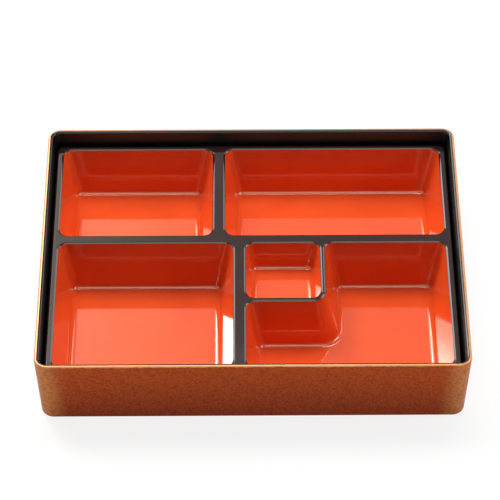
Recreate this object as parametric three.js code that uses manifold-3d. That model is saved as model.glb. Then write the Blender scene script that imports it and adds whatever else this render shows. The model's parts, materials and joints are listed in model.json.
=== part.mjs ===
// A bento box without a lid: a drafted box with a bronze shell and a black lining, and a tray that
// lifts out of it, made of a black frame with five vermilion wells bonded under it.
// Millimetres, +Z up, +X along the long side, +Y to the back, origin under the middle of the base.
import * as THREE from "three";
import Module from "manifold-3d";

const wasm = await Module();
wasm.setup();

const { degToRad } = THREE.MathUtils;

// Driving dimensions of the box
const BOX_LENGTH = 270;
const BOX_DEPTH = 210;
const BOX_HEIGHT = 50;
const BOX_CORNER = 8;
const BOX_DRAFT = degToRad(2.6);
const SHELL_WALL = 1.5;
const SHELL_FLOOR = 2;
const SHELL_EDGE_ROUND = 1.1;
const LINING_WALL = 1.6;
const LINING_FLOOR = 1.5;
const LINING_FILLET = 4;
const LINING_EDGE_ROUND = 1;
const FOOT_HEIGHT = 2.5;
const FOOT_WIDTH = 6;
const BASE_ROUND = 0.8;

// Driving dimensions of the tray's frame
const TRAY_CORNER = 5;
const FRAME_THICKNESS = 1.8;
const FRAME_EDGE_ROUND = 1.5;
const SKIRT_WALL = 1.6;
const SKIRT_HEIGHT = 6;
const OPENING_ROUND = 1.2;

// Driving dimensions of the wells
const REAR_ROW_DEPTH = 78.8;
const REAR_LEFT_WIDTH = 99.3;
const FRONT_LEFT_WIDTH = 112.6;
const SMALL_WELL_SIDE = 47.8;
const COLUMN_DIVIDER = 8.1;
const ROW_DIVIDER = 7.1;
const WELL_DEPTH = 31;
const SMALL_WELL_DEPTH = 17.4;
const WELL_WALL = 1.4;
const WELL_FLOOR = 2.2;
const WELL_DRAFT = degToRad(18.5);
const WELL_CORNER = 6;
const WELL_FILLET = 1.8;

// How much the radius of a well's inner corner grows for each millimetre that its walls draw in
const HOLLOW_WIDENING = 0.3;

// Clearances
const GLUE_GAP = 0.3;
const REST_GAP = 0.3;
const WELL_GAP = 0.3;
const TRAY_CLEARANCE = 1.8;
const SIDE_ROOM = 1.55;
const END_ROOM = 0.7;

// Fineness of the rounded corners and edges
const CORNER_DIVISIONS = 3;
const EDGE_STEPS = 3;
const SMALLEST_CORNER = 0.6;
const CORNER_SHARE_OF_SIDE = 0.48;
const CUT_OVERRUN = 1;

// Heights, from the base up
const widestZ = BOX_HEIGHT - SHELL_EDGE_ROUND;
const shellFloorTop = FOOT_HEIGHT + SHELL_FLOOR;
const liningUnderside = shellFloorTop + GLUE_GAP;
const liningFloorTop = liningUnderside + LINING_FLOOR;
const trayTop = liningFloorTop + REST_GAP + WELL_FLOOR + WELL_DEPTH;

// Heights in the tray, down from its top face
const frameUnderside = -FRAME_THICKNESS;
const wellTop = frameUnderside - GLUE_GAP;

// Half sizes of the tray, and of the field that its openings fill
const boxWall = SHELL_WALL + GLUE_GAP + LINING_WALL;
const trayInset = boxWall + wallInset(trayTop) + TRAY_CLEARANCE;
const trayHalfLength = BOX_LENGTH / 2 - trayInset;
const trayHalfDepth = BOX_DEPTH / 2 - trayInset;
const fieldX = trayHalfLength - SKIRT_WALL - SIDE_ROOM - WELL_WALL;
const fieldY = trayHalfDepth - SKIRT_WALL - END_ROOM - WELL_WALL;

// Edges of the openings
const strip = 2 * WELL_WALL + WELL_GAP;
const hollowCorner = WELL_CORNER + strip;
const rearRowFront = fieldY - REAR_ROW_DEPTH;
const frontRowBack = rearRowFront - ROW_DIVIDER;
const rearLeftEnd = -fieldX + REAR_LEFT_WIDTH;
const frontLeftEnd = -fieldX + FRONT_LEFT_WIDTH;
const smallLeft = frontLeftEnd + COLUMN_DIVIDER;
const smallRight = smallLeft + SMALL_WELL_SIDE;
const smallFront = frontRowBack - SMALL_WELL_SIDE;

const BRONZE = { color: 0x8a4522, roughness: 0.45, metalness: 0.35 };
const BLACK = { color: 0x0d0c0c, roughness: 0.12, metalness: 0 };
const VERMILION = { color: 0xd2381a, roughness: 0.12, metalness: 0 };

// How far the box's outer face stands in from its widest place at a height, because of its draft.
function wallInset(z) {
  return Math.tan(BOX_DRAFT) * (widestZ - z);
}

// Corner points of a plan, counter-clockwise.
function plan(...corners) {
  return corners.map(([x, y]) => new THREE.Vector2(x, y));
}

function rectangle(left, right, front, back) {
  return plan([left, front], [right, front], [right, back], [left, back]);
}

// Unit vector along the side of a plan that leaves a corner.
function sideAfter(corners, index) {
  const next = corners[(index + 1) % corners.length];
  return next.clone().sub(corners.at(index)).normalize();
}

// Direction from a corner into the plan, one unit in from both of its sides.
function inwards(corners, index) {
  const arriving = sideAfter(corners, index - 1);
  const leaving = sideAfter(corners, index);
  return new THREE.Vector2(-arriving.y - leaving.y, arriving.x + leaving.x);
}

// Outline of a right-angled plan moved in by an inset, its outer and inner corners rounded as far as
// its sides have room.
function outline(corners, inset, cornerRadius, hollowRadius) {
  const moved = corners.map((corner, i) => corner.clone().addScaledVector(inwards(corners, i), inset));
  const path = new THREE.Path();
  moved.forEach((corner, i) => {
    const before = corner.distanceTo(moved.at(i - 1));
    const after = corner.distanceTo(moved[(i + 1) % moved.length]);
    const arriving = sideAfter(moved, i - 1);
    const turn = Math.sign(arriving.cross(sideAfter(moved, i)));
    const wanted = turn > 0 ? cornerRadius : hollowRadius;
    const radius = Math.min(wanted, CORNER_SHARE_OF_SIDE * Math.min(before, after));
    const centre = corner.clone().addScaledVector(inwards(moved, i), turn * radius);
    const start = Math.atan2(-turn * arriving.x, turn * arriving.y);
    path.absarc(centre.x, centre.y, radius, start, start + (turn * Math.PI) / 2, turn < 0);
  });
  return path.getPoints(CORNER_DIVISIONS);
}

// Closed solid through rings of equal point counts, closed off below the first and above the last.
function loft(rings) {
  const count = rings[0].length;
  const lastRing = (rings.length - 1) * count;
  const faces = [];
  for (let ring = 0; ring < lastRing; ring += count) {
    for (let i = 0; i < count; i++) {
      const here = ring + i;
      const next = ring + ((i + 1) % count);
      faces.push(here, next, next + count, here, next + count, here + count);
    }
  }
  for (const [a, b, c] of THREE.ShapeUtils.triangulateShape(rings[0], [])) {
    faces.push(a, c, b);
  }
  for (const [a, b, c] of THREE.ShapeUtils.triangulateShape(rings.at(-1), [])) {
    faces.push(lastRing + a, lastRing + b, lastRing + c);
  }
  return new THREE.BufferGeometry().setFromPoints(rings.flat()).setIndex(faces);
}

// Solid over a plan. A section point's x is its inset from the plan and its y is its height.
function loftOver(corners, section, cornerAt, hollowAt = cornerAt) {
  const rings = section.map((point) => {
    const level = outline(corners, point.x, cornerAt(point), hollowAt(point));
    return level.map(({ x, y }) => new THREE.Vector3(x, y, point.y));
  });
  return loft(rings);
}

// Section points of a rounded edge, turned through from one angle to another.
function roundedEdge(inset, z, radius, from, to) {
  return new THREE.EllipseCurve(inset, z, radius, radius, from, to, to < from).getPoints(EDGE_STEPS);
}

// Section of a drafted wall from its top edge down to a floor, with a fillet between them.
function wallToFloor(topInset, topZ, floorZ, draft, fillet) {
  const drop = topZ - floorZ - fillet;
  const centre = topInset + (fillet + drop * Math.sin(draft)) / Math.cos(draft);
  const top = new THREE.Vector2(topInset, topZ);
  return [top, ...roundedEdge(centre, floorZ + fillet, fillet, Math.PI + draft, 1.5 * Math.PI)];
}

function solidOf(geometry) {
  const vertProperties = geometry.getAttribute("position").array;
  const triVerts = new Uint32Array(geometry.getIndex().array);
  return new wasm.Manifold(new wasm.Mesh({ numProp: 3, vertProperties, triVerts }));
}

function geometryOf(solid) {
  const { vertProperties, triVerts } = solid.getMesh();
  return new THREE.BufferGeometry()
    .setAttribute("position", new THREE.BufferAttribute(vertProperties, 3))
    .setIndex(new THREE.BufferAttribute(triVerts, 1));
}

// Corner radius of the box at a section point: that of its outer face, less the wall behind it.
function boxCorner(point) {
  return Math.max(BOX_CORNER - (point.x - wallInset(point.y)), SMALLEST_CORNER);
}

// Bronze shell: a foot ring under a recessed base, drafted walls and a rounded outer rim edge.
function makeShell(boxPlan) {
  const footInner = wallInset(0) + FOOT_WIDTH;
  const baseInset = wallInset(BASE_ROUND) + BASE_ROUND;
  const section = [
    new THREE.Vector2(footInner, FOOT_HEIGHT),
    new THREE.Vector2(footInner, 0),
    ...roundedEdge(baseInset, BASE_ROUND, BASE_ROUND, 1.5 * Math.PI, Math.PI),
    ...roundedEdge(SHELL_EDGE_ROUND, widestZ, SHELL_EDGE_ROUND, Math.PI, Math.PI / 2),
    new THREE.Vector2(SHELL_WALL, BOX_HEIGHT),
    new THREE.Vector2(SHELL_WALL + wallInset(shellFloorTop), shellFloorTop),
  ];
  return loftOver(boxPlan, section, boxCorner);
}

// Black lining: stands inside the shell, its top flush with the rim, with a filleted floor.
function makeLining(boxPlan) {
  const outer = SHELL_WALL + GLUE_GAP;
  const edgeZ = BOX_HEIGHT - LINING_EDGE_ROUND;
  const section = [
    new THREE.Vector2(outer + wallInset(liningUnderside), liningUnderside),
    new THREE.Vector2(outer, BOX_HEIGHT),
    ...roundedEdge(boxWall - LINING_EDGE_ROUND, edgeZ, LINING_EDGE_ROUND, Math.PI / 2, 0).slice(0, -1),
    ...wallToFloor(boxWall + wallInset(edgeZ), edgeZ, liningFloorTop, BOX_DRAFT, LINING_FILLET),
  ];
  return loftOver(boxPlan, section, boxCorner);
}

// What is cut from the frame at an opening: straight at the bottom, flared round at the top.
function makeOpeningCut(opening) {
  const section = [
    new THREE.Vector2(0, frameUnderside - CUT_OVERRUN),
    ...roundedEdge(-OPENING_ROUND, -OPENING_ROUND, OPENING_ROUND, 0, Math.PI / 2),
    new THREE.Vector2(-OPENING_ROUND, CUT_OVERRUN),
  ];
  return loftOver(
    opening,
    section,
    (point) => WELL_CORNER - point.x,
    (point) => hollowCorner + point.x,
  );
}

// Black frame: a plate with a rounded, turned-down edge and a flared opening over each well.
function makeFrame(openings) {
  const trayPlan = rectangle(-trayHalfLength, trayHalfLength, -trayHalfDepth, trayHalfDepth);
  const section = [
    new THREE.Vector2(SKIRT_WALL, frameUnderside),
    new THREE.Vector2(SKIRT_WALL, -SKIRT_HEIGHT),
    new THREE.Vector2(0, -SKIRT_HEIGHT),
    ...roundedEdge(FRAME_EDGE_ROUND, -FRAME_EDGE_ROUND, FRAME_EDGE_ROUND, Math.PI, Math.PI / 2),
  ];
  let frame = solidOf(loftOver(trayPlan, section, (point) => TRAY_CORNER - point.x));
  for (const opening of openings) {
    frame = frame.subtract(solidOf(makeOpeningCut(opening)));
  }
  return geometryOf(frame);
}

// How far a well's inner face stands in from its opening at a height, because of its draft.
function wellInset(z) {
  return Math.tan(WELL_DRAFT) * (wellTop - z);
}

// Radius of a well's outer corners at a section point: the same all the way down, more outside its wall.
function wellCorner(point) {
  return Math.max(WELL_CORNER - (point.x - wellInset(point.y)), SMALLEST_CORNER);
}

// Radius of a well's inner corner at a section point: it widens down the wall.
function wellHollow(point) {
  const inset = wellInset(point.y);
  return hollowCorner + HOLLOW_WIDENING * inset + (point.x - inset);
}

// Vermilion well: a drafted cup under its opening, with an even wall and a filleted floor.
function makeWell(opening, depth) {
  const outside = wallToFloor(-WELL_WALL, wellTop, -depth - WELL_FLOOR, WELL_DRAFT, WELL_FILLET + WELL_WALL);
  const inside = wallToFloor(0, wellTop, -depth, WELL_DRAFT, WELL_FILLET);
  return loftOver(opening, [...outside.reverse(), ...inside], wellCorner, wellHollow);
}

function addPart(group, name, geometry, finish) {
  geometry.computeVertexNormals();
  const mesh = new THREE.Mesh(geometry, new THREE.MeshStandardMaterial(finish));
  mesh.name = name;
  group.add(mesh);
}

const rearLeft = rectangle(-fieldX, rearLeftEnd, rearRowFront, fieldY);
const rearRight = rectangle(rearLeftEnd + COLUMN_DIVIDER, fieldX, rearRowFront, fieldY);
const frontLeft = rectangle(-fieldX, frontLeftEnd, -fieldY, frontRowBack);
const small = rectangle(smallLeft, smallRight, smallFront, frontRowBack);
const cornerWrap = plan(
  [smallLeft, -fieldY],
  [fieldX, -fieldY],
  [fieldX, frontRowBack],
  [smallRight + strip, frontRowBack],
  [smallRight + strip, smallFront - strip],
  [smallLeft, smallFront - strip],
);

const box = new THREE.Group();
const boxPlan = rectangle(-BOX_LENGTH / 2, BOX_LENGTH / 2, -BOX_DEPTH / 2, BOX_DEPTH / 2);
addPart(box, "box_shell", makeShell(boxPlan), BRONZE);
addPart(box, "box_lining", makeLining(boxPlan), BLACK);

const tray = new THREE.Group();
tray.position.z = trayTop;
addPart(tray, "tray_frame", makeFrame([rearLeft, rearRight, frontLeft, small, cornerWrap]), BLACK);
addPart(tray, "well_rear_left", makeWell(rearLeft, WELL_DEPTH), VERMILION);
addPart(tray, "well_rear_right", makeWell(rearRight, WELL_DEPTH), VERMILION);
addPart(tray, "well_front_left", makeWell(frontLeft, WELL_DEPTH), VERMILION);
addPart(tray, "well_small", makeWell(small, SMALL_WELL_DEPTH), VERMILION);
addPart(tray, "well_corner", makeWell(cornerWrap, WELL_DEPTH), VERMILION);

const bentoBox = new THREE.Group();
bentoBox.add(box, tray);

export default bentoBox;
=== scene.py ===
"""A bento box: a bronze box lined in black, and a lift-out black tray with five vermilion wells."""
import json
import math
from collections import namedtuple

import bmesh
import bpy
from mathutils import Matrix, Vector

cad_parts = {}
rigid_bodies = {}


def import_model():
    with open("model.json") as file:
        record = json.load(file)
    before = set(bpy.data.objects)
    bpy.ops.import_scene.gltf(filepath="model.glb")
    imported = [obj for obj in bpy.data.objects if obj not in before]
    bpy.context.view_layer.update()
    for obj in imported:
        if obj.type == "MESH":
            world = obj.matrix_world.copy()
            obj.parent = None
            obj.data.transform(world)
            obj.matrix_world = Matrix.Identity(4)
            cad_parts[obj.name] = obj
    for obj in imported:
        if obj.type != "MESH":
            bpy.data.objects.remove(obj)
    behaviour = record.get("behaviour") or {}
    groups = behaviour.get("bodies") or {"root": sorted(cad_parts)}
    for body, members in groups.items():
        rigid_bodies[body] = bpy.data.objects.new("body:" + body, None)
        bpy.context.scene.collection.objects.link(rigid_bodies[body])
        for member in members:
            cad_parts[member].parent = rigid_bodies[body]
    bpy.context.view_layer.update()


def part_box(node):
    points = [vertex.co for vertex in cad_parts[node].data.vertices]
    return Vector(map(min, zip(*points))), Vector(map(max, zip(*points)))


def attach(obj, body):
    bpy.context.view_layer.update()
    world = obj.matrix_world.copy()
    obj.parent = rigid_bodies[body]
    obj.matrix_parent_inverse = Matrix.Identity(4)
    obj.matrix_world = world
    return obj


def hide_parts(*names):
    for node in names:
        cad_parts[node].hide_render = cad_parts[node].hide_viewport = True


bl_info = {
    "name": "Bento Box",
    "version": (1, 0, 0),
    "blender": (4, 5, 0),
    "location": "3D View > Sidebar > Bento Box",
    "description": "Models a bronze bento box and its lift-out tray of five vermilion wells",
    "category": "Object",
}

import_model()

MM = 0.001
SAME_PLACE = 0.002 * MM
CORNER_SEGMENTS = 10
EDGE_SEGMENTS = 8
FILLET_SEGMENTS = 8
SMOOTH_ANGLE = math.radians(50)
CRISP_ANGLE = math.radians(14)
FLAT_ANGLE = math.radians(1)
ROUND_PROFILE = 0.5

# A face whose normal rises less than STEEP is a wall, and it looks OUTSIDE or INSIDE
STEEP = 0.5
OUTSIDE = 1
INSIDE = -1

WELLS = ("well_rear_left", "well_rear_right", "well_front_left", "well_small", "well_corner")

# A plan is an outline seen from above: a rectangle, or an L with a notch cut out of its rear left.
# The notch is given by its right side and its front, and is None for a rectangle.
Plan = namedtuple("Plan", "left right front back notch")


# Sizes and colours

def length(name, description, millimetres):
    """A length that is stored in metres and written here in millimetres."""
    return bpy.props.FloatProperty(
        name=name, description=description, default=millimetres * MM,
        min=0, precision=5, unit="LENGTH", subtype="DISTANCE",
    )


def angle(name, description, degrees):
    """An angle that is stored in radians and written here in degrees."""
    return bpy.props.FloatProperty(
        name=name, description=description, default=math.radians(degrees),
        min=0, unit="ROTATION", subtype="ANGLE",
    )


def colour(name, description, red, green, blue):
    """A linear colour."""
    return bpy.props.FloatVectorProperty(
        name=name, description=description, default=(red, green, blue),
        size=3, min=0, max=1, subtype="COLOR",
    )


def power(name, description, watts):
    """The power of a light."""
    return bpy.props.FloatProperty(
        name=name, description=description, default=watts, min=0, unit="POWER",
    )


def strength(name, description, level):
    """The brightness of a part of the surround, where 1 is white."""
    return bpy.props.FloatProperty(name=name, description=description, default=level, min=0)


class BENTO_PG_box(bpy.types.PropertyGroup):
    """Sizes of the box that its outer size doesn't give."""
    corner: length("Corner", "Radius of the upright corners at the rim", 8)
    draft: angle("Draft", "Lean of the walls", 2.6)
    shell_wall: length("Shell wall", "Thickness of the bronze wall at the rim", 1.5)
    shell_floor: length("Shell floor", "Thickness of the bronze floor above the foot ring", 2)
    rim_round: length("Rim rounding", "Radius of the outer edge of the rim", 1.4)
    base_round: length("Base rounding", "Radius of the bottom edge", 0.8)
    foot_width: length("Foot width", "Width of the ring that the box stands on", 6)
    foot_height: length("Foot height", "Depth of the hollow inside the foot ring", 2.5)
    lining_wall: length("Lining wall", "Width of the black part of the rim", 1.9)
    lining_floor: length("Lining floor", "Thickness of the black floor", 1.5)
    lining_round: length("Lining rounding", "Radius of the inner edge of the rim", 1.8)
    lining_fillet: length("Lining fillet", "Radius between the black walls and floor", 2.2)


class BENTO_PG_tray(bpy.types.PropertyGroup):
    """Sizes of the tray that its outer size doesn't give."""
    corner: length("Tray corner", "Radius of the tray's upright corners", 5)
    edge_round: length("Edge rounding", "Radius of the tray's outer edge", 1.5)
    skirt_wall: length("Skirt wall", "Thickness of the turned-down edge", 1.6)
    lip_radius: length("Lip radius", "Radius of the sloping lip of each opening", 5.2)
    lip_start: angle("Lip start", "Slope of that lip where it meets the top of the tray", 28)
    lip_end: angle("Lip end", "Slope of that lip where it meets the well", 43)
    strip: length("Strip", "Width of the bar round the small well", 3.1)
    well_wall: length("Well wall", "Width of the seat of each well under the frame", 1.4)
    well_thickness: length("Well thickness", "Thickness of the wells' walls and floors", 1.1)
    side_draft: angle("Side draft", "Lean of the wells' side walls", 16)
    end_draft: angle("End draft", "Lean of the wells' front and back walls", 17.2)
    well_corner: length("Well corner", "Radius of the wells' corners at the top", 6)
    floor_corner: length("Floor corner", "Radius of the wells' corners at the floor", 3.5)
    hollow_corner: length("Hollow corner", "Radius of the corner well's inward corner at the top", 9.1)
    hollow_floor: length("Hollow corner at floor", "Radius of that corner at the floor", 12)
    side_fillet: length("Side fillet", "Radius between the wells' side walls and floors", 4)
    end_fillet: length("End fillet", "Radius between the wells' front and back walls and floors", 2)


class BENTO_PG_finish(bpy.types.PropertyGroup):
    """Colours of the finishes."""
    bronze: colour("Bronze", "Outside of the box at the rim", 0.36, 0.052, 0.0045)
    # Painted shade: the bronze is drawn darker towards the base, where the box's shadow on the floor
    # falls; this is its colour at the base
    bronze_painted_shade: colour("Deep bronze", "Outside of the box at the base", 0.225, 0.025, 0.002)
    bronze_dark: colour("Dark grains", "Darkest grains in the bronze", 0.09, 0.013, 0.003)
    bronze_bright: colour("Bright flakes", "Brightest flakes in the bronze", 0.55, 0.125, 0.02)
    # Painted highlight: a lighter band along the rim that stands in for the highlight of the rim's
    # rounded edge
    bronze_rim_highlight: colour("Bare rim", "Metal that shows along the rubbed rim", 0.47, 0.215, 0.095)
    # Painted highlight: the upright corners are drawn paler, standing in for reflections of the white
    # surround on them
    bronze_corner_highlight: colour("Worn bronze", "Handled corners of the outside", 0.48, 0.19, 0.06)
    lining_black: colour("Lining black", "Inside of the box", 0.005, 0.007, 0.007)
    tray_black: colour("Tray black", "Top of the tray", 0.017, 0.005, 0.004)
    vermilion: colour("Vermilion", "Inside of the wells", 0.66, 0.07, 0.012)
    vermilion_deep: colour("Deep vermilion", "Darker clouds inside the wells", 0.62, 0.063, 0.0105)


class BENTO_PG_studio(bpy.types.PropertyGroup):
    """The camera and the light."""
    lens: bpy.props.FloatProperty(
        name="Lens", description="Focal length of the camera", default=190.23,
        min=1, unit="CAMERA",
    )
    floor: colour("Floor", "Colour of the floor", 0.93, 0.93, 0.93)
    key_power: power("Key power", "Power of the small bright softbox behind on the left", 9.8)
    halo_power: power("Halo power", "Power of the larger softbox below the key light", 8.8)
    back_power: power("Back power", "Power of the wide softbox high behind", 19.08)
    back_end_power: power("Back end power", "Power of that softbox's right end", 7.92)
    fill_power: power("Fill power", "Power of the softbox behind on the right", 3.8)
    side_power: power("Side power", "Power of the softbox on the right", 9.5)
    left_power: power("Left power", "Power of the weaker softbox on the left", 2.6)
    front_power: power("Front power", "Power of the low softbox in front", 38)
    card_power: power("Card power", "Power of the card in front that only shows in reflections", 8)
    glow: strength("Glow", "Brightness of the glow round the key light", 3.1)
    ambient: strength("Ambient", "Brightness of the surround as a light", 0.01)


# Modelling in edit mode

def new_piece(name):
    """Starts an empty mesh object at the origin and opens it for editing."""
    bpy.ops.object.select_all(action="DESELECT")
    piece = bpy.data.objects.new(name, bpy.data.meshes.new(name))
    bpy.context.scene.collection.objects.link(piece)
    bpy.context.view_layer.objects.active = piece
    piece.select_set(True)
    bpy.ops.object.mode_set(mode="EDIT")
    bpy.ops.mesh.select_mode(type="EDGE")
    return piece


def choose(piece, kind, test):
    """Selects only the verts, edges or faces of the piece being edited that pass the test."""
    bpy.ops.mesh.select_all(action="DESELECT")
    bpy.ops.mesh.select_mode(type={"verts": "VERT", "edges": "EDGE", "faces": "FACE"}[kind])
    edited = bmesh.from_edit_mesh(piece.data)
    chosen = [part for part in getattr(edited, kind) if test(part)]
    if not chosen:
        raise RuntimeError(f"{piece.name} has no {kind} at the place asked for")
    for part in chosen:
        part.select_set(True)
    bmesh.update_edit_mesh(piece.data)


def lies_at(height):
    """A test for edges and faces that lie flat at this height."""
    return lambda part: all(abs(vert.co.z - height) < SAME_PLACE for vert in part.verts)


def is_upright(edge):
    """True for an edge that runs up a wall."""
    return abs(edge.verts[0].co.z - edge.verts[1].co.z) > edge.calc_length() / 2


def raise_face(distance):
    """Extrudes the selected face straight up."""
    bpy.ops.mesh.extrude_region_move(TRANSFORM_OT_translate={"value": (0, 0, distance)})


def round_edges(radius, segments):
    """Rounds the selected edges."""
    bpy.ops.mesh.bevel(
        offset_type="OFFSET", offset=radius, segments=segments, profile=ROUND_PROFILE, affect="EDGES")


def round_corners(radius):
    """Rounds the selected corners of a flat face."""
    bpy.ops.mesh.bevel(
        offset_type="OFFSET", offset=radius, segments=CORNER_SEGMENTS, affect="VERTICES")


def arc_steps(radius, first, last):
    """Steps along an arc from one slope to another: how far each goes across and how far down."""
    slopes = [first + (last - first) * step / EDGE_SEGMENTS for step in range(EDGE_SEGMENTS + 1)]
    for start, end in zip(slopes, slopes[1:]):
        across = radius * (math.sin(end) - math.sin(start))
        down = radius * (math.cos(start) - math.cos(end))
        yield across, down


def lip_drop(sizes):
    """How far the black goes down into each well."""
    return sum(down for across, down in arc_steps(sizes.lip_radius, sizes.lip_start, sizes.lip_end))


def shrink(plan, sides, ends=None):
    """The plan moved inwards at its sides, and by as much or by ends at its front and back."""
    ends = sides if ends is None else ends
    notch = plan.notch and (plan.notch[0] + sides, plan.notch[1] - ends)
    return Plan(plan.left + sides, plan.right - sides, plan.front + ends, plan.back - ends, notch)


def add_plate(plan, height):
    """Adds a sharp-cornered flat rectangle and leaves it selected."""
    middle = ((plan.left + plan.right) / 2, (plan.front + plan.back) / 2, height)
    size = (plan.right - plan.left, plan.back - plan.front, 1)
    bpy.ops.mesh.primitive_plane_add(size=1, location=middle)
    bpy.ops.transform.resize(value=size, center_override=middle)


def add_notched_plate(piece, plan, height):
    """Adds a sharp-cornered flat L: its front arm, with the rear arm drawn out beside the notch."""
    notch_right, notch_front = plan.notch
    add_plate(plan._replace(back=notch_front), height)
    bpy.ops.mesh.bisect(plane_co=(notch_right, 0, 0), plane_no=(1, 0, 0))

    def starts_rear_arm(edge):
        return lies_at(height)(edge) and all(
            abs(vert.co.y - notch_front) < SAME_PLACE and vert.co.x > notch_right - SAME_PLACE
            for vert in edge.verts
        )

    choose(piece, "edges", starts_rear_arm)
    bpy.ops.mesh.extrude_region_move(TRANSFORM_OT_translate={"value": (0, plan.back - notch_front, 0)})
    bpy.ops.mesh.select_linked()
    bpy.ops.mesh.dissolve_limited(angle_limit=FLAT_ANGLE)


def add_plan(piece, plan, height, corner, hollow=0):
    """Adds a flat face of this plan with rounded corners and leaves it selected."""
    if plan.notch:
        add_notched_plate(piece, plan, height)
        inward = Vector((*plan.notch, height))
        choose(piece, "verts", lambda vert: (vert.co - inward).length < SAME_PLACE)
        round_corners(hollow)
        outward = [
            Vector((plan.left, plan.front, height)),
            Vector((plan.right, plan.front, height)),
            Vector((plan.right, plan.back, height)),
            Vector((plan.notch[0], plan.back, height)),
            Vector((plan.left, plan.notch[1], height)),
        ]
        choose(piece, "verts", lambda vert: any(
            (vert.co - place).length < SAME_PLACE for place in outward))
    else:
        add_plate(plan, height)
    round_corners(corner)
    bpy.ops.mesh.select_linked()


def close_up():
    """Merges what meets and turns every face outwards."""
    bpy.ops.mesh.select_all(action="SELECT")
    bpy.ops.mesh.remove_doubles(threshold=SAME_PLACE)
    bpy.ops.mesh.normals_make_consistent(inside=False)


def apply_modifier(piece, kind, **settings):
    """Adds one modifier with these settings and applies it."""
    modifier = piece.modifiers.new(kind.title(), kind)
    for setting, value in settings.items():
        setattr(modifier, setting, value)
    bpy.ops.object.modifier_apply(modifier=modifier.name)


def finish_piece(piece, body, node, material, smooth_angle=SMOOTH_ANGLE):
    """Smooths the piece, gives it its finish and puts it in the place of its CAD node."""
    bpy.ops.object.mode_set(mode="OBJECT")
    bpy.ops.object.shade_smooth_by_angle(angle=smooth_angle)
    apply_modifier(piece, "WEIGHTED_NORMAL", keep_sharp=True)
    piece.data.materials.append(material)
    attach(piece, body)
    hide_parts(node)


# Finishes

# Most of a noise lies between these two levels, which are spread over the whole of a range
NOISE_LOW = 0.3
NOISE_HIGH = 0.7

# A pair is a range: from dull flakes to bright ones, from the walls to the rim band, or across the haze
BRONZE_GRAIN = 1.3 * MM
BRONZE_FLAKE = 0.4 * MM
DARK_GRAINS = 0.65
DARK_SHARE = 0.5
BRIGHT_FLAKES = 0.5
BRIGHT_SHARE = 0.35
PEBBLE_DEPTH = 0.05 * MM
PEBBLE_DETAIL = 3
BRONZE_ROUGHNESS = (0.5, 0.36)
BRONZE_METALLIC = (0.25, 0.7)
BRONZE_SPECULAR = 0.06

# The rim band, a lighter colour that paints the highlight of the rim's edge, goes down to a depth,
# with an uneven edge. The painted highlight on the corners is full from a share of their radius
# inside the sharp corner, and fades out over a width.
RIM_BAND_DEPTH = 0.9 * MM
RIM_BAND_EDGE = 0.3 * MM
RIM_BAND_PATCH = 3 * MM
HIGHLIGHT_CORNER = 0.62
HIGHLIGHT_WIDTH = 14 * MM
HIGHLIGHT_SHARE = 0.8

HAZE_PATCH = 20 * MM
HAZE_DETAIL = 6
HAZE_GRAIN = 0.6
HAZE_SHADE = 0.8
RIPPLE_DEPTH = 0.004 * MM
BLACK_RIPPLE = 4 * MM
LINING_ROUGHNESS = (0.28, 0.36)
LINING_SPECULAR = 0.28
POLISHED_ROUGHNESS = 0.09
POLISHED_START = 2.25 * MM
POLISHED_FULL = 1.35 * MM
TRAY_ROUGHNESS = (0.06, 0.1)

CLOUD = 30 * MM
CLOUD_DETAIL = 5
CLOUD_LOW = 0.35
CLOUD_HIGH = 0.65
WELL_PATCH = 15 * MM
WELL_RIPPLE = 5 * MM
WELL_ROUGHNESS = (0.045, 0.075)
WELL_SPECULAR = 0.82
WARM_GLOSS = (1, 1, 0.82, 1)


class Nodes:
    """A node tree under construction: nodes are added, set up and joined by short calls."""

    def __init__(self, tree):
        self.tree = tree

    def put(self, socket, value):
        """Joins a socket to another node's output, or fills it with a value."""
        if isinstance(value, bpy.types.NodeSocket):
            self.tree.links.new(value, socket)
        else:
            socket.default_value = value

    def add(self, kind, inputs=(), **settings):
        """Adds a node, sets it up, and joins or fills its inputs, which are named or numbered."""
        node = self.tree.nodes.new(kind)
        for setting, value in settings.items():
            setattr(node, setting, value)
        for socket, value in dict(inputs).items():
            self.put(node.inputs[socket], value)
        return node

    def maths(self, operation, first, second):
        """One calculation with two values."""
        return self.add("ShaderNodeMath", {0: first, 1: second}, operation=operation).outputs[0]

    def spread(self, value, low, high, to_low=0.0, to_high=1.0, ease="LINEAR"):
        """Maps the range from low to high onto another range, and stops at its ends."""
        inputs = {"Value": value, "From Min": low, "From Max": high, "To Min": to_low, "To Max": to_high}
        return self.add("ShaderNodeMapRange", inputs, interpolation_type=ease).outputs["Result"]

    def seen(self):
        """1 for rays from the camera, a reflection or glass, and 0 for those that only gather light."""
        path = self.add("ShaderNodeLightPath").outputs
        straight_or_mirrored = self.maths("MAXIMUM", path["Is Camera Ray"], path["Is Glossy Ray"])
        return self.maths("MAXIMUM", straight_or_mirrored, path["Is Transmission Ray"])


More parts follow.
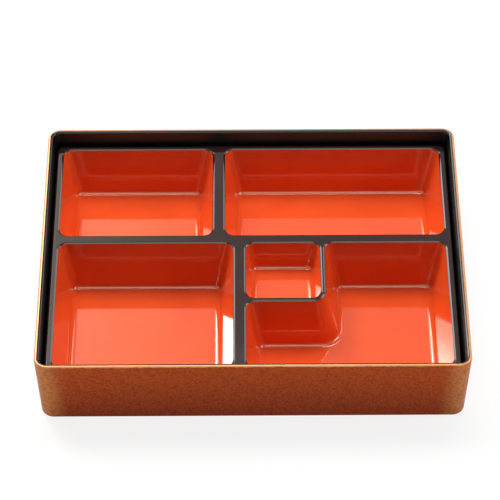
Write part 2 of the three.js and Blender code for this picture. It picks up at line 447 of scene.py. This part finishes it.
class Finish(Nodes):
    """A material under construction, with patterns that stay fixed to the piece."""

    def __init__(self, name):
        self.material = bpy.data.materials.new(name)
        self.material.use_nodes = True
        super().__init__(self.material.node_tree)
        self.shader = self.tree.nodes["Principled BSDF"]
        self.place = self.add("ShaderNodeTexCoord").outputs["Object"]

    def set(self, **inputs):
        """Sets the shader's own sockets, with underscores for the spaces in their names."""
        for name, value in inputs.items():
            self.put(self.shader.inputs[name.replace("_", " ")], value)

    def noise(self, size, detail=2, roughness=0.5):
        """Cloudy noise with clouds of about this size in metres."""
        inputs = {"Vector": self.place, "Scale": 1 / size, "Detail": detail, "Roughness": roughness}
        return self.add("ShaderNodeTexNoise", inputs).outputs["Fac"]

    def grains(self, size):
        """A random grey for each grain of about this size in metres."""
        cells = self.add("ShaderNodeTexVoronoi", {"Vector": self.place, "Scale": 1 / size})
        return self.add("ShaderNodeSeparateColor", {"Color": cells.outputs["Color"]}).outputs["Red"]

    def height(self):
        """The height above the table."""
        return self.add("ShaderNodeSeparateXYZ", {"Vector": self.place}).outputs["Z"]

    def reach(self):
        """How far out a place is: its distances from the two upright middle planes together."""
        place = self.add("ShaderNodeSeparateXYZ", {"Vector": self.place}).outputs
        sideways = self.maths("ABSOLUTE", place["X"], 0)
        endways = self.maths("ABSOLUTE", place["Y"], 0)
        return self.maths("ADD", sideways, endways)

    def mix(self, share, first, second):
        """Mixes two colours."""
        node = self.add("ShaderNodeMixRGB", {"Fac": share, "Color1": first, "Color2": second})
        return node.outputs["Color"]

    def bump(self, height, depth):
        """Raises the surface by the height's pattern, by this depth in metres."""
        return self.add("ShaderNodeBump", {"Height": height, "Distance": depth}).outputs["Normal"]

    def haze(self, size):
        """Fine uneven noise, for traces of handling in patches of about this size in metres."""
        return self.noise(size, HAZE_DETAIL, HAZE_GRAIN)

    def ripple(self, size):
        """The faint unevenness of a lacquered face."""
        return self.bump(self.noise(size), RIPPLE_DEPTH)


def opaque(rgb):
    """A colour with its alpha."""
    return (*rgb, 1.0)


def painted_corner_highlight(finish, sizes, plan, rim, height):
    """A share of painted highlight that rises towards the upright corners, along walls that lean in
    below the rim.
    """
    below_rim = finish.maths("SUBTRACT", rim, height)
    lean = finish.maths("MULTIPLY", below_rim, 2 * math.tan(sizes.draft))
    reach = finish.maths("ADD", finish.reach(), lean)
    corner = plan.right + plan.back - HIGHLIGHT_CORNER * sizes.corner
    return finish.spread(reach, corner - HIGHLIGHT_WIDTH, corner, 0, HIGHLIGHT_SHARE, "SMOOTHSTEP")


def rim_band_share(finish, rim, height):
    """A share that is full along the rim and ends in an uneven edge below it: a band of painted
    highlight, also made more metallic.
    """
    patches = finish.noise(RIM_BAND_PATCH)
    uneven = finish.spread(patches, NOISE_LOW, NOISE_HIGH, -RIM_BAND_EDGE, RIM_BAND_EDGE)
    start = rim - RIM_BAND_DEPTH
    return finish.spread(finish.maths("ADD", height, uneven), start, start + RIM_BAND_EDGE)


def make_bronze(colours, sizes, plan, base, rim):
    """Bronze lacquer with fine grains and flakes, with painted shade darkening it towards the base,
    painted highlights on its upright corners and a lighter, more metallic band along the rim that paints
    the rim's highlight.
    """
    finish = Finish("bronze_lacquer")
    height = finish.height()
    # Painted shade: the colour darkens towards the base, where the box's shadow on the floor falls
    rise = finish.spread(height, base, rim)
    ground_with_painted_shade = finish.mix(rise, opaque(colours.bronze_painted_shade), opaque(colours.bronze))
    # Painted highlight: paler colour on the upright corners
    corner_highlight = painted_corner_highlight(finish, sizes, plan, rim, height)
    with_corner_highlight = finish.mix(corner_highlight, ground_with_painted_shade, opaque(colours.bronze_corner_highlight))
    dark = finish.spread(finish.grains(BRONZE_GRAIN), 0, DARK_GRAINS, DARK_SHARE, 0)
    grained = finish.mix(dark, with_corner_highlight, opaque(colours.bronze_dark))
    flakes = finish.grains(BRONZE_FLAKE)
    bright = finish.spread(flakes, BRIGHT_FLAKES, 1, 0, BRIGHT_SHARE)
    flaked = finish.mix(bright, grained, opaque(colours.bronze_bright))
    # Painted highlight: a lighter band along the rim, which is also made more metallic
    rim_band = rim_band_share(finish, rim, height)
    finish.set(
        Base_Color=finish.mix(rim_band, flaked, opaque(colours.bronze_rim_highlight)),
        Roughness=finish.spread(flakes, 0, 1, *BRONZE_ROUGHNESS),
        Normal=finish.bump(finish.noise(BRONZE_GRAIN, PEBBLE_DETAIL), PEBBLE_DEPTH),
        Metallic=finish.spread(rim_band, 0, 1, *BRONZE_METALLIC),
        Specular_IOR_Level=BRONZE_SPECULAR,
    )
    return finish.material


def hazy_black(finish, haze, rgb):
    """Black lacquer that is a little deeper in patches."""
    deeper = [part * HAZE_SHADE for part in rgb]
    return finish.mix(haze, opaque(deeper), opaque(rgb))


def make_lining_black(colours, rim):
    """Satin black inside the box, polished by hands along the rim."""
    finish = Finish("lining_lacquer")
    haze = finish.haze(HAZE_PATCH)
    satin = finish.spread(haze, NOISE_LOW, NOISE_HIGH, *LINING_ROUGHNESS)
    polished = finish.spread(finish.height(), rim - POLISHED_START, rim - POLISHED_FULL)
    finish.set(
        Base_Color=hazy_black(finish, haze, colours.lining_black),
        Roughness=finish.spread(polished, 0, 1, satin, POLISHED_ROUGHNESS),
        Normal=finish.ripple(BLACK_RIPPLE),
        Specular_IOR_Level=LINING_SPECULAR,
    )
    return finish.material


def make_tray_black(colours):
    """Deep brown-black lacquer, polished, with a faint ripple and traces of handling."""
    finish = Finish("tray_lacquer")
    haze = finish.haze(HAZE_PATCH)
    finish.set(
        Base_Color=hazy_black(finish, haze, colours.tray_black),
        Roughness=finish.spread(haze, NOISE_LOW, NOISE_HIGH, *TRAY_ROUGHNESS),
        Normal=finish.ripple(BLACK_RIPPLE),
    )
    return finish.material


def make_vermilion(colours):
    """Glossy vermilion lacquer with soft clouds of colour and a faint ripple."""
    finish = Finish("vermilion_lacquer")
    clouds = finish.spread(finish.noise(CLOUD, CLOUD_DETAIL), CLOUD_LOW, CLOUD_HIGH)
    finish.set(
        Base_Color=finish.mix(clouds, opaque(colours.vermilion_deep), opaque(colours.vermilion)),
        Roughness=finish.spread(finish.haze(WELL_PATCH), NOISE_LOW, NOISE_HIGH, *WELL_ROUGHNESS),
        Normal=finish.ripple(WELL_RIPPLE),
        Specular_IOR_Level=WELL_SPECULAR,
        Specular_Tint=WARM_GLOSS,
    )
    return finish.material


# Pieces

def outline_of(node):
    """The plan of a CAD node's box."""
    lowest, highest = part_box(node)
    return Plan(lowest.x, highest.x, lowest.y, highest.y, None)


def opening_plan(node, sizes):
    """The plan of a well's opening. The corner well goes round the small well and its strip."""
    plan = shrink(outline_of(node), sizes.well_wall)
    if node != "well_corner":
        return plan
    small = opening_plan("well_small", sizes)
    return plan._replace(notch=(small.right + sizes.strip, small.front - sizes.strip))


def add_drafted_block(piece, plan, low, high, draft, corner):
    """Adds a block that narrows towards its base, with rounded upright corners."""
    middle = Vector(((plan.left + plan.right) / 2, (plan.front + plan.back) / 2, (low + high) / 2))
    size = Vector((plan.right - plan.left, plan.back - plan.front, high - low))
    bpy.ops.mesh.primitive_cube_add(size=1, location=middle)
    bpy.ops.transform.resize(value=size, center_override=middle)
    choose(piece, "faces", lies_at(low))
    inset = (high - low) * math.tan(draft)
    narrowing = (1 - 2 * inset / size.x, 1 - 2 * inset / size.y, 1)
    bpy.ops.transform.resize(value=narrowing, center_override=(middle.x, middle.y, low))
    choose(piece, "edges", is_upright)
    round_edges(corner, CORNER_SEGMENTS)


def sink_face(piece, height, rim, drop, draft):
    """Insets the flat face at this height by the rim and sinks its middle, with leaning walls."""
    choose(piece, "faces", lies_at(height))
    bpy.ops.mesh.inset(thickness=rim, depth=0)
    bpy.ops.mesh.inset(thickness=drop * math.tan(draft), depth=-drop)


def meets_wall(edge, side):
    """True for an edge where a wall ends that looks to this side, OUTSIDE or INSIDE."""
    return any(
        abs(face.normal.z) < STEEP and side * face.normal.dot(face.calc_center_median()) > 0
        for face in edge.link_faces
    )


class BENTO_OT_box_shell(bpy.types.Operator):
    """Model the bronze shell with its rounded rim and its foot ring"""
    bl_idname = "bento.box_shell"
    bl_label = "Box Shell"

    def execute(self, context):
        sizes = context.scene.bento_box
        plan = outline_of("box_shell")
        base, rim = (corner.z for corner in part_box("box_shell"))
        piece = new_piece("box_shell_finish")
        add_drafted_block(piece, plan, base, rim, sizes.draft, sizes.corner)
        choose(piece, "edges", lies_at(base))
        round_edges(sizes.base_round, EDGE_SEGMENTS)
        sink_face(piece, base, sizes.foot_width, sizes.foot_height, sizes.draft)
        floor = base + sizes.foot_height + sizes.shell_floor
        sink_face(piece, rim, sizes.shell_wall, rim - floor, sizes.draft)
        choose(piece, "edges", lambda edge: lies_at(rim)(edge) and meets_wall(edge, OUTSIDE))
        round_edges(sizes.rim_round, EDGE_SEGMENTS)
        material = make_bronze(context.scene.bento_finish, sizes, plan, base, rim)
        finish_piece(piece, "box", "box_shell", material)
        return {"FINISHED"}


class BENTO_OT_box_lining(bpy.types.Operator):
    """Model the black lining, which fills the shell up to the rim"""
    bl_idname = "bento.box_lining"
    bl_label = "Box Lining"

    def execute(self, context):
        sizes = context.scene.bento_box
        plan = shrink(outline_of("box_shell"), sizes.shell_wall)
        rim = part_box("box_shell")[1].z
        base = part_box("box_lining")[0].z
        floor = base + sizes.lining_floor
        piece = new_piece("box_lining_finish")
        add_drafted_block(piece, plan, base, rim, sizes.draft, sizes.corner - sizes.shell_wall)
        sink_face(piece, rim, sizes.lining_wall, rim - floor, sizes.draft)
        choose(piece, "edges", lies_at(floor))
        round_edges(sizes.lining_fillet, FILLET_SEGMENTS)
        choose(piece, "edges", lambda edge: lies_at(rim)(edge) and meets_wall(edge, INSIDE))
        round_edges(sizes.lining_round, EDGE_SEGMENTS)
        material = make_lining_black(context.scene.bento_finish, rim)
        finish_piece(piece, "box", "box_lining", material)
        return {"FINISHED"}


class BENTO_OT_tray_frame(bpy.types.Operator):
    """Model the black frame of the tray, with its turned-down edge and five rounded openings"""
    bl_idname = "bento.tray_frame"
    bl_label = "Tray Frame"

    def execute(self, context):
        sizes = context.scene.bento_tray
        outer = outline_of("tray_frame")
        hem, top = (corner.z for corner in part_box("tray_frame"))
        underside = top - lip_drop(sizes)
        piece = new_piece("tray_frame_finish")
        add_plan(piece, outer, hem, sizes.corner)
        raise_face(top - sizes.edge_round - hem)
        for up, inwards in arc_steps(sizes.edge_round, 0, math.pi / 2):
            bpy.ops.mesh.inset(thickness=inwards, depth=up)
        bpy.ops.mesh.delete(type="ONLY_FACE")
        choose(piece, "faces", lies_at(hem))
        bpy.ops.mesh.inset(thickness=sizes.skirt_wall, depth=0)
        raise_face(underside - hem)
        bpy.ops.mesh.delete(type="ONLY_FACE")
        lip = list(arc_steps(sizes.lip_radius, sizes.lip_start, sizes.lip_end))
        width = sum(across for across, down in lip)
        for node in WELLS:
            flare = shrink(opening_plan(node, sizes), -width)
            add_plan(piece, flare, top, sizes.well_corner + width, sizes.hollow_corner - width)
            for across, down in lip:
                bpy.ops.mesh.inset(thickness=across, depth=-down)
            bpy.ops.mesh.delete(type="ONLY_FACE")
        for height in (top, underside):
            choose(piece, "edges", lies_at(height))
            bpy.ops.mesh.fill()
        close_up()
        material = make_tray_black(context.scene.bento_finish)
        finish_piece(piece, "tray", "tray_frame", material, CRISP_ANGLE)
        return {"FINISHED"}


def weigh_fillets(piece, floor, end_share):
    """Marks the edges round a well's floor for filleting: fully at its sides, by a share at its ends."""
    edited = bmesh.from_edit_mesh(piece.data)
    weight = edited.edges.layers.float.new("bevel_weight_edge")
    for edge in edited.edges:
        if lies_at(floor)(edge):
            along = edge.verts[1].co - edge.verts[0].co
            sideways = abs(along.y) / along.length
            edge[weight] = end_share + (1 - end_share) * sideways
    bmesh.update_edit_mesh(piece.data)


def model_well(node, sizes, material):
    """Models one well: two outlines bridged by leaning walls, filleted and given a thickness."""
    plan = opening_plan(node, sizes)
    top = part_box("tray_frame")[1].z - lip_drop(sizes)
    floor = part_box(node)[0].z + sizes.well_thickness
    side_lean = math.tan(sizes.side_draft) * (top - floor)
    end_lean = math.tan(sizes.end_draft) * (top - floor)
    piece = new_piece(node + "_finish")
    add_plan(piece, plan, top, sizes.well_corner, sizes.hollow_corner)
    bpy.ops.mesh.delete(type="ONLY_FACE")
    add_plan(piece, shrink(plan, side_lean, end_lean), floor, sizes.floor_corner, sizes.hollow_floor)
    bpy.ops.mesh.delete(type="ONLY_FACE")
    bpy.ops.mesh.select_all(action="SELECT")
    bpy.ops.mesh.bridge_edge_loops()
    choose(piece, "edges", lies_at(floor))
    bpy.ops.mesh.edge_face_add()
    bpy.ops.mesh.select_all(action="SELECT")
    bpy.ops.mesh.normals_make_consistent(inside=True)
    weigh_fillets(piece, floor, sizes.end_fillet / sizes.side_fillet)
    bpy.ops.object.mode_set(mode="OBJECT")
    # A fillet of this radius starts so far from the corner between the floor and a leaning wall
    fillet = sizes.side_fillet * math.tan(math.pi / 4 - sizes.side_draft / 2)
    apply_modifier(piece, "BEVEL", width=fillet, segments=FILLET_SEGMENTS, limit_method="WEIGHT")
    apply_modifier(piece, "SOLIDIFY", thickness=sizes.well_thickness, offset=-1, use_even_offset=True)
    finish_piece(piece, "tray", node, material)


class BENTO_OT_tray_wells(bpy.types.Operator):
    """Model the five vermilion wells under the frame"""
    bl_idname = "bento.tray_wells"
    bl_label = "Tray Wells"

    def execute(self, context):
        material = make_vermilion(context.scene.bento_finish)
        for node in WELLS:
            model_well(node, context.scene.bento_tray, material)
        return {"FINISHED"}


# Studio

# The camera's angles are in radians, and its sensor is in millimetres
CAMERA_PLACE = Vector((-6.44, -1164.39, 1276.97)) * MM
CAMERA_PITCH = 0.8144
CAMERA_YAW = 0.0044
CAMERA_ROLL = 0.0017
SENSOR_WIDTH = 36

# A softbox has its place, width and height in metres. It is turned to the box, or faces straight ahead.
Softbox = namedtuple("Softbox", "place width height straight", defaults=[False])
SOFTBOXES = {
    "key": Softbox((-0.77, 1.06, 1.24), 0.28, 0.28),
    "halo": Softbox((-1, 1.1, 0.75), 0.8, 0.8),
    "back": Softbox((-0.22, 0.65, 1.38), 1.06, 0.56, True),
    "back_end": Softbox((0.53, 0.65, 1.38), 0.44, 0.56, True),
    "fill": Softbox((1.1, 1.1, 0.71), 0.7, 0.75),
    "side": Softbox((1.4, 0.1, 0.8), 0.8, 0.8),
    "left": Softbox((-1.4, 0.1, 0.8), 0.8, 0.8),
    "front": Softbox((0, -3.6, 0.165), 3.6, 0.27),
    "card": Softbox((0, -0.9, 1.3), 1.2, 0.8),
}
HIDDEN_FROM_REFLECTIONS = ("back_end", "front")
ONLY_IN_REFLECTIONS = ("card",)
CARD_COLOUR = (1, 0.94, 0.76)
LIGHT_TARGET = Vector((0, 0, 0.03))

WHITE = (1, 1, 1, 1)
GLOW_TOWARDS = Vector((-0.42, 0.62, 0.66)).normalized()
GLOW_COLOUR = (1, 0.93, 0.8, 1)
GLOW_EDGE = math.cos(math.radians(26))
GLOW_CORE = math.cos(math.radians(12))
HORIZON_TOP = math.sin(math.radians(12))
CEILING_EDGE = math.sin(math.radians(38))
HORIZON_LEVEL = 1.0
CEILING_LEVEL = 0.7
FLOOR_RADIUS = 4
FLOOR_SIDES = 96
FLOOR_EDGE = 0.02
FLOOR_LIFT = 0.85
PAPER_ROUGHNESS = 0.8
PAPER_SPECULAR = 0.1


def add_camera(lens):
    """Adds the camera, looking down on the box from the front."""
    bpy.ops.object.camera_add(location=CAMERA_PLACE)
    camera = bpy.context.object
    turn = Matrix.Rotation(-CAMERA_YAW, 3, "Z") @ Matrix.Rotation(math.pi / 2 - CAMERA_PITCH, 3, "X")
    camera.rotation_euler = (turn @ Matrix.Rotation(-CAMERA_ROLL, 3, "Z")).to_euler()
    camera.data.sensor_fit = "HORIZONTAL"
    camera.data.sensor_width = SENSOR_WIDTH
    camera.data.lens = lens
    bpy.context.scene.camera = camera


def add_softbox(name, softbox, watts):
    """Adds a rectangular light, turned to the box or straight ahead."""
    place = Vector(softbox.place)
    target = LIGHT_TARGET.copy()
    if softbox.straight:
        target.x += place.x
    bpy.ops.object.light_add(type="AREA", location=place)
    lamp = bpy.context.object
    lamp.name = name
    lamp.rotation_euler = (target - place).to_track_quat("-Z", "Y").to_euler()
    lamp.visible_glossy = name not in HIDDEN_FROM_REFLECTIONS
    lamp.visible_diffuse = name not in ONLY_IN_REFLECTIONS
    lamp.data.shape = "RECTANGLE"
    lamp.data.size = softbox.width
    lamp.data.size_y = softbox.height
    lamp.data.energy = watts
    return lamp


def add_softboxes(studio):
    """Adds the softboxes with their powers, and gives the card its warm colour."""
    for name, softbox in SOFTBOXES.items():
        lamp = add_softbox(name, softbox, getattr(studio, name + "_power"))
        if name == "card":
            lamp.data.color = CARD_COLOUR


def light_world(studio):
    """A surround that is white at the horizon, greyer above it, and glows round the key light."""
    world = bpy.data.worlds.new("studio")
    bpy.context.scene.world = world
    world.use_nodes = True
    nodes = Nodes(world.node_tree)
    direction = nodes.add("ShaderNodeTexCoord").outputs["Generated"]
    height = nodes.add("ShaderNodeSeparateXYZ", {"Vector": direction}).outputs["Z"]
    wall = nodes.spread(height, HORIZON_TOP, CEILING_EDGE, HORIZON_LEVEL, CEILING_LEVEL, "SMOOTHSTEP")
    level = nodes.spread(nodes.seen(), 0, 1, studio.ambient, wall)
    inputs = {0: direction, 1: GLOW_TOWARDS}
    nearness = nodes.add("ShaderNodeVectorMath", inputs, operation="DOT_PRODUCT").outputs["Value"]
    glow = nodes.spread(nearness, GLOW_EDGE, GLOW_CORE, 0, studio.glow, "SMOOTHSTEP")
    white = nodes.tree.nodes["Background"]
    nodes.put(white.inputs["Color"], WHITE)
    nodes.put(white.inputs["Strength"], level)
    warm = nodes.add("ShaderNodeBackground", {"Color": GLOW_COLOUR, "Strength": glow})
    both = nodes.add("ShaderNodeAddShader", {0: white.outputs[0], 1: warm.outputs[0]})
    nodes.put(nodes.tree.nodes["World Output"].inputs["Surface"], both.outputs[0])


def make_floor_material(rgb):
    """Pale matt paper, lifted towards white where it is seen, that keeps the shadow."""
    paper = Finish("floor_paper")
    paper.set(
        Base_Color=opaque(rgb),
        Roughness=PAPER_ROUGHNESS,
        Specular_IOR_Level=PAPER_SPECULAR,
    )
    white = paper.add("ShaderNodeEmission", {"Color": WHITE, "Strength": HORIZON_LEVEL})
    lift = paper.maths("MULTIPLY", paper.seen(), FLOOR_LIFT)
    inputs = {0: lift, 1: paper.shader.outputs[0], 2: white.outputs[0]}
    blend = paper.add("ShaderNodeMixShader", inputs)
    paper.put(paper.tree.nodes["Material Output"].inputs["Surface"], blend.outputs[0])
    return paper.material


def add_floor(rgb):
    """Adds a round table top with a rolled edge, level with the foot of the box."""
    piece = new_piece("floor")
    bpy.ops.mesh.primitive_circle_add(vertices=FLOOR_SIDES, radius=FLOOR_RADIUS, fill_type="NGON")
    bpy.ops.mesh.inset(thickness=FLOOR_EDGE, depth=0)
    choose(piece, "verts", lambda vert: vert.co.xy.length > FLOOR_RADIUS - FLOOR_EDGE / 2)
    bpy.ops.transform.translate(value=(0, 0, -FLOOR_EDGE))
    bpy.ops.object.mode_set(mode="OBJECT")
    piece.data.materials.append(make_floor_material(rgb))


class BENTO_OT_studio(bpy.types.Operator):
    """Set up the floor, the light and the camera"""
    bl_idname = "bento.studio"
    bl_label = "Studio"

    def execute(self, context):
        studio = context.scene.bento_studio
        add_floor(studio.floor)
        add_softboxes(studio)
        light_world(studio)
        add_camera(studio.lens)
        context.scene.view_settings.view_transform = "Standard"
        return {"FINISHED"}


# Sidebar and registration

class BENTO_PT_sidebar(bpy.types.Panel):
    """The studio and the pieces of the bento box, in the order they are made, with their settings"""
    bl_idname = "BENTO_PT_sidebar"
    bl_label = "Bento Box"
    bl_space_type = "VIEW_3D"
    bl_region_type = "UI"
    bl_category = "Bento Box"

    def draw(self, context):
        for operator in OPERATORS:
            self.layout.operator(operator.bl_idname)
        for name in SETTINGS:
            group = getattr(context.scene, name)
            for setting in group.bl_rna.properties:
                if setting.identifier not in ("rna_type", "name"):
                    self.layout.prop(group, setting.identifier)


SETTINGS = {
    "bento_box": BENTO_PG_box,
    "bento_tray": BENTO_PG_tray,
    "bento_finish": BENTO_PG_finish,
    "bento_studio": BENTO_PG_studio,
}
OPERATORS = (
    BENTO_OT_studio,
    BENTO_OT_box_shell,
    BENTO_OT_box_lining,
    BENTO_OT_tray_frame,
    BENTO_OT_tray_wells,
)


def register():
    """Registers the settings, the operators and the sidebar."""
    for group in SETTINGS.values():
        bpy.utils.register_class(group)
    for name, group in SETTINGS.items():
        setattr(bpy.types.Scene, name, bpy.props.PointerProperty(type=group))
    for operator in OPERATORS:
        bpy.utils.register_class(operator)
    bpy.utils.register_class(BENTO_PT_sidebar)


def unregister():
    """Removes the sidebar, the operators and the settings again."""
    bpy.utils.unregister_class(BENTO_PT_sidebar)
    for operator in reversed(OPERATORS):
        bpy.utils.unregister_class(operator)
    for name in SETTINGS:
        delattr(bpy.types.Scene, name)
    for group in reversed(SETTINGS.values()):
        bpy.utils.unregister_class(group)


def main():
    """Makes the studio and the pieces."""
    register()
    bpy.ops.bento.studio()
    bpy.ops.bento.box_shell()
    bpy.ops.bento.box_lining()
    bpy.ops.bento.tray_frame()
    bpy.ops.bento.tray_wells()


if __name__ == "__main__":
    main()
